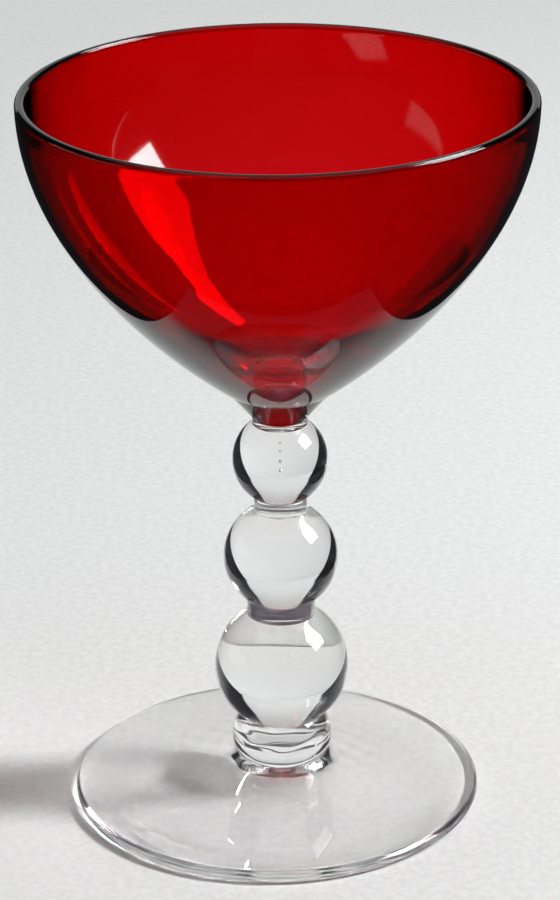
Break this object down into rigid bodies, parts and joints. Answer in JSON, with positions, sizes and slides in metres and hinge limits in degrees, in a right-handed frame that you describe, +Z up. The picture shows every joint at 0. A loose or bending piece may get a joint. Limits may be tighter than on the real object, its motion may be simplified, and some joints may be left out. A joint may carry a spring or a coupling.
{
  "type": "sherbet glass",
  "caption": "Stemmed sherbet glass: a wide ruby bowl with a rounded lip on a clear stem of stacked balls and a round clear foot that stands on a table.",
  "frame": {"origin": "middle of the foot's underside, on the plane that the glass stands on", "axes": "+Z up the stem through the middle of the bowl, X and Y level and alike because the glass is turned about Z"},
  "size_m": [0.0876, 0.0876, 0.13],
  "materials": {
    "ruby_glass": "fire-polished transparent ruby glass",
    "clear_glass": "fire-polished clear glass"
  },
  "bodies": {
    "root": {"foot": "clear_glass", "foot_collar": "clear_glass", "bottom_ball": "clear_glass", "lower_ring": "clear_glass", "middle_ball": "clear_glass", "upper_ring": "clear_glass", "top_ball": "clear_glass", "bowl_collar": "ruby_glass", "bowl": "ruby_glass"}
  },
  "joints": []
}
